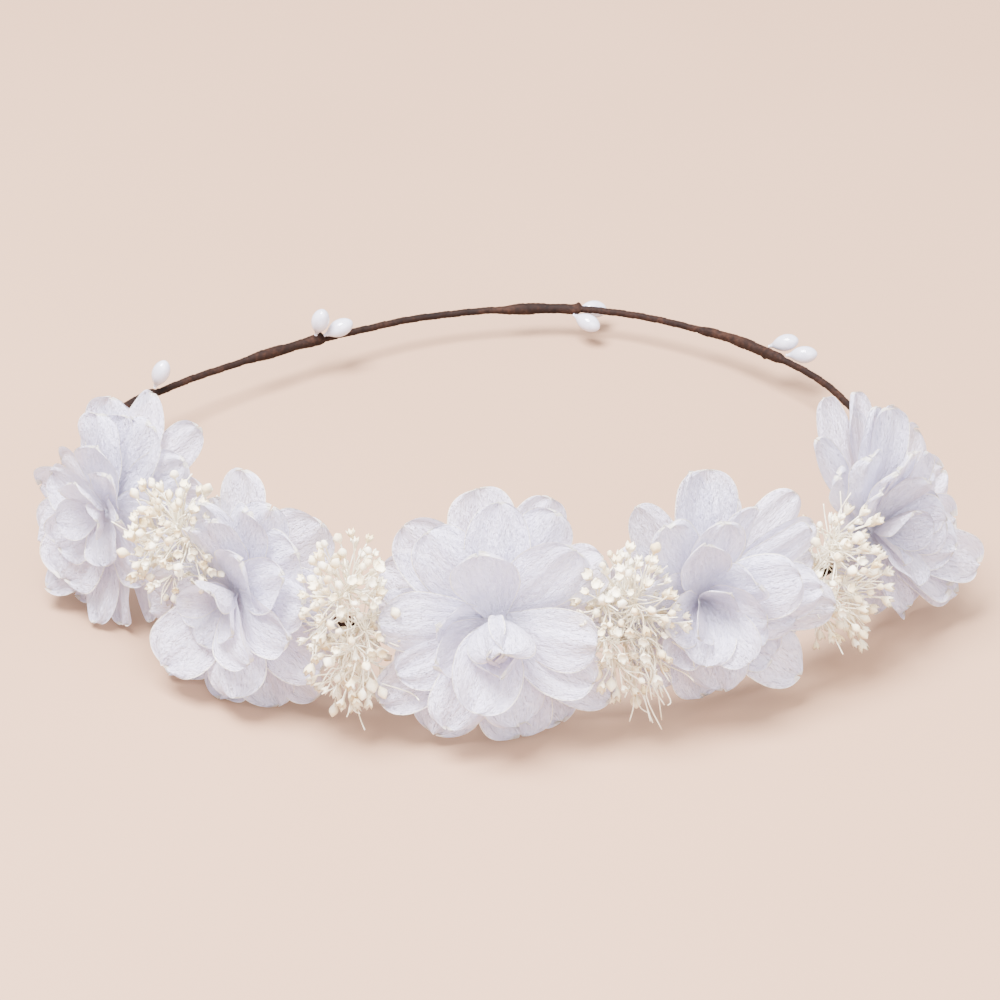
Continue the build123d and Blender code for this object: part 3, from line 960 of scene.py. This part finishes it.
def add_loose_stem(stems, rng, here, fork, middle):
    """A curly stem without a head, from a fork out to near a place beside the ring."""
    along, out = ring.along(here), ring.outwards(here)
    beside = along * (middle[0] + rng.gauss(0, 5)) + out * (middle[1] + rng.gauss(0, 2))
    tip = ring.at(here) + beside
    tip.z = max(0.7, middle[2] + rng.gauss(0, 5))
    curl = [Vector([rng.uniform(-2.2, 2.2) for _ in range(3)]) for _ in range(3)]
    knots = [fork] + [fork.lerp(tip, (k + 1) / 4) + c for k, c in enumerate(curl)] + [tip]
    for knot in knots:
        knot.z = max(0.7, knot.z)
    line = smooth_line(knots, 4)
    add_tube(stems, line, [0.16] * len(line), 5)


def make_spray(number):
    angle, middle, halves, count = SPRAYS[number]
    rng = random.Random(200 + number)
    here = ring.index(angle)
    along, out = ring.along(here), ring.outwards(here)
    root = ring.at(here) + out * 1.4
    centre = ring.at(here) + along * middle[0] + out * middle[1]
    centre.z = middle[2]
    axes = (along, out, UP)
    heads, stems = Soup(), Soup()
    forks = scatter(rng, FORKS, root.lerp(centre, 0.75), axes, [h * 0.6 for h in halves])
    for fork in forks:
        mid = root.lerp(fork, 0.5) + Vector([rng.uniform(-1.2, 1.2) for _ in range(3)])
        line = smooth_line([root + along * rng.uniform(-1.2, 1.2), mid, fork], 5)
        add_tube(stems, line, [0.26 - 0.08 * k / len(line) for k in range(len(line))], 6)
    for point in scatter(rng, count, centre, axes, halves):
        fork = min(forks, key=lambda f: (f - point).length)
        bow = fork.lerp(point, 0.5) + Vector([rng.uniform(-0.9, 0.9) for _ in range(3)])
        line = smooth_line([fork, bow, point], 4)
        add_tube(stems, line, [0.17] * len(line), 5)
        way = (point - bow).normalized() + (point - root).normalized() * 0.8
        way += Vector([rng.uniform(-0.5, 0.5) for _ in range(3)])
        add_head(heads, rng, point, way.normalized(), rng.uniform(0.62, 1.05))
    for _ in range(BARE_STEMS):
        fork = rng.choice(forks)
        reach = Vector([rng.gauss(0, 1) for _ in range(3)]).normalized() * rng.uniform(4, 9)
        tip = fork + reach + (fork - root).normalized() * 3
        tip.z = max(tip.z, 0.8)
        bow = fork.lerp(tip, 0.5) + Vector([rng.uniform(-1.5, 1.5) for _ in range(3)])
        line = smooth_line([fork, bow, tip], 4)
        add_tube(stems, line, [0.15] * len(line), 5)
    loose_count, loose_middle = LOOSE_STEMS.get(number, NO_LOOSE_STEMS)
    for _ in range(loose_count):
        add_loose_stem(stems, rng, here, rng.choice(forks), loose_middle)
    heads.build(f"spray_{number}_heads", BLOOM, "crown", (f"broom_{number}_heads",), "broom_bloom")
    stems.build(f"spray_{number}_stems", STRAW, "crown", (f"broom_{number}_stems",), "broom_stem")


def make_stem_tape():
    """Tape over the stems of the flowers and sprays, all along the front half."""
    soup = Soup()
    rng = random.Random(17)
    angles = [f[0] for f in FLOWERS.values()] + [s[0] for s in SPRAYS.values()]
    start = ring.index(min(angles), -8.5)
    end = ring.index(max(angles), 9.5)
    points, radii = [], []
    for i in range(end - start + 1):
        run_out = min(1.0, i * RING_STEP / 6.0, (end - start - i) * RING_STEP / 6.0)
        nearest = min(abs(start + i - ring.index(a)) for a in angles) * RING_STEP
        bundle = 1.15 + 0.5 * math.exp(-((nearest / 7.0) ** 2))
        points.append(ring.at(start + i) + ring.outwards(start + i) * (0.5 * run_out))
        radii.append(0.6 + (bundle - 0.6) * run_out)
    height = tape_relief(rng, -1)
    add_tube(soup, points, radii, TAPE_SIDES, height)
    soup.build("stem_tape", CREPE, "crown", ("stem_bindings",), "crepe_tape")


# ---------------------------------------------------------------- the stage
FLOOR_HALF = 2.5


def make_stage():
    mesh = bpy.data.meshes.new("floor")
    far = FLOOR_HALF
    mesh.from_pydata([(-far, -far, 0), (far, -far, 0), (far, far, 0), (-far, far, 0)], [], [(0, 1, 2, 3)])
    material, nodes, links, skin = new_material("pale_floor")
    place = add(nodes, "ShaderNodeTexCoord")
    cloud = add(nodes, "ShaderNodeTexNoise", Scale=6.0, Detail=2.0)
    links.new(place.outputs["Object"], cloud.inputs["Vector"])
    pale = colour_ramp(nodes, [(0.3, (0.37, 0.22, 0.13)), (0.7, (0.395, 0.238, 0.142))])
    links.new(cloud.outputs["Fac"], pale.inputs["Fac"])
    links.new(pale.outputs["Color"], skin.inputs["Base Color"])
    skin.inputs["Roughness"].default_value = 0.6
    mesh.materials.append(material)
    floor = bpy.data.objects.new("floor", mesh)
    bpy.context.scene.collection.objects.link(floor)


def add_light(name, place, aim, size, power, colour):
    data = bpy.data.lights.new(name, "AREA")
    data.shape = "DISK"
    data.size = size
    data.energy = power
    data.color = colour
    lamp = bpy.data.objects.new(name, data)
    lamp.location = place
    lamp.rotation_euler = (Vector(aim) - Vector(place)).to_track_quat("-Z", "Y").to_euler()
    bpy.context.scene.collection.objects.link(lamp)


def make_lights():
    add_light("key", (-0.35, -0.3, 1.35), (0, 0, 0), 0.8, 148, (0.945, 0.935, 1.0))
    add_light("fill", (0.5, -0.9, 0.9), (0, 0, 0), 1.3, 36, (0.95, 0.94, 1.0))
    world = bpy.data.worlds.new("studio")
    world.use_nodes = True
    world.node_tree.nodes["Background"].inputs["Color"].default_value = (0.94, 0.93, 1.0, 1)
    world.node_tree.nodes["Background"].inputs["Strength"].default_value = 1.48
    bpy.context.scene.world = world


CAMERA_ELEVATION = 32.0
CAMERA_DISTANCE = 1.4507
CAMERA_AIM = Vector((0.003207, 0.014935, 0.0))
CAMERA_LENS = 232.4
SENSOR_WIDTH = 36.0


def make_camera():
    data = bpy.data.cameras.new("camera")
    data.sensor_width = SENSOR_WIDTH
    data.lens = CAMERA_LENS
    camera = bpy.data.objects.new("camera", data)
    lift = math.radians(CAMERA_ELEVATION)
    camera.location = CAMERA_AIM + Vector((0, -math.cos(lift), math.sin(lift))) * CAMERA_DISTANCE
    camera.rotation_euler = (math.radians(90 - CAMERA_ELEVATION), 0, 0)
    bpy.context.scene.collection.objects.link(camera)
    bpy.context.scene.camera = camera


make_ring_tape()
make_stem_tape()
make_berries()
for flower_number in FLOWERS:
    make_flower(flower_number)
for spray_number in SPRAYS:
    make_spray(spray_number)
make_stage()
make_lights()
make_camera()
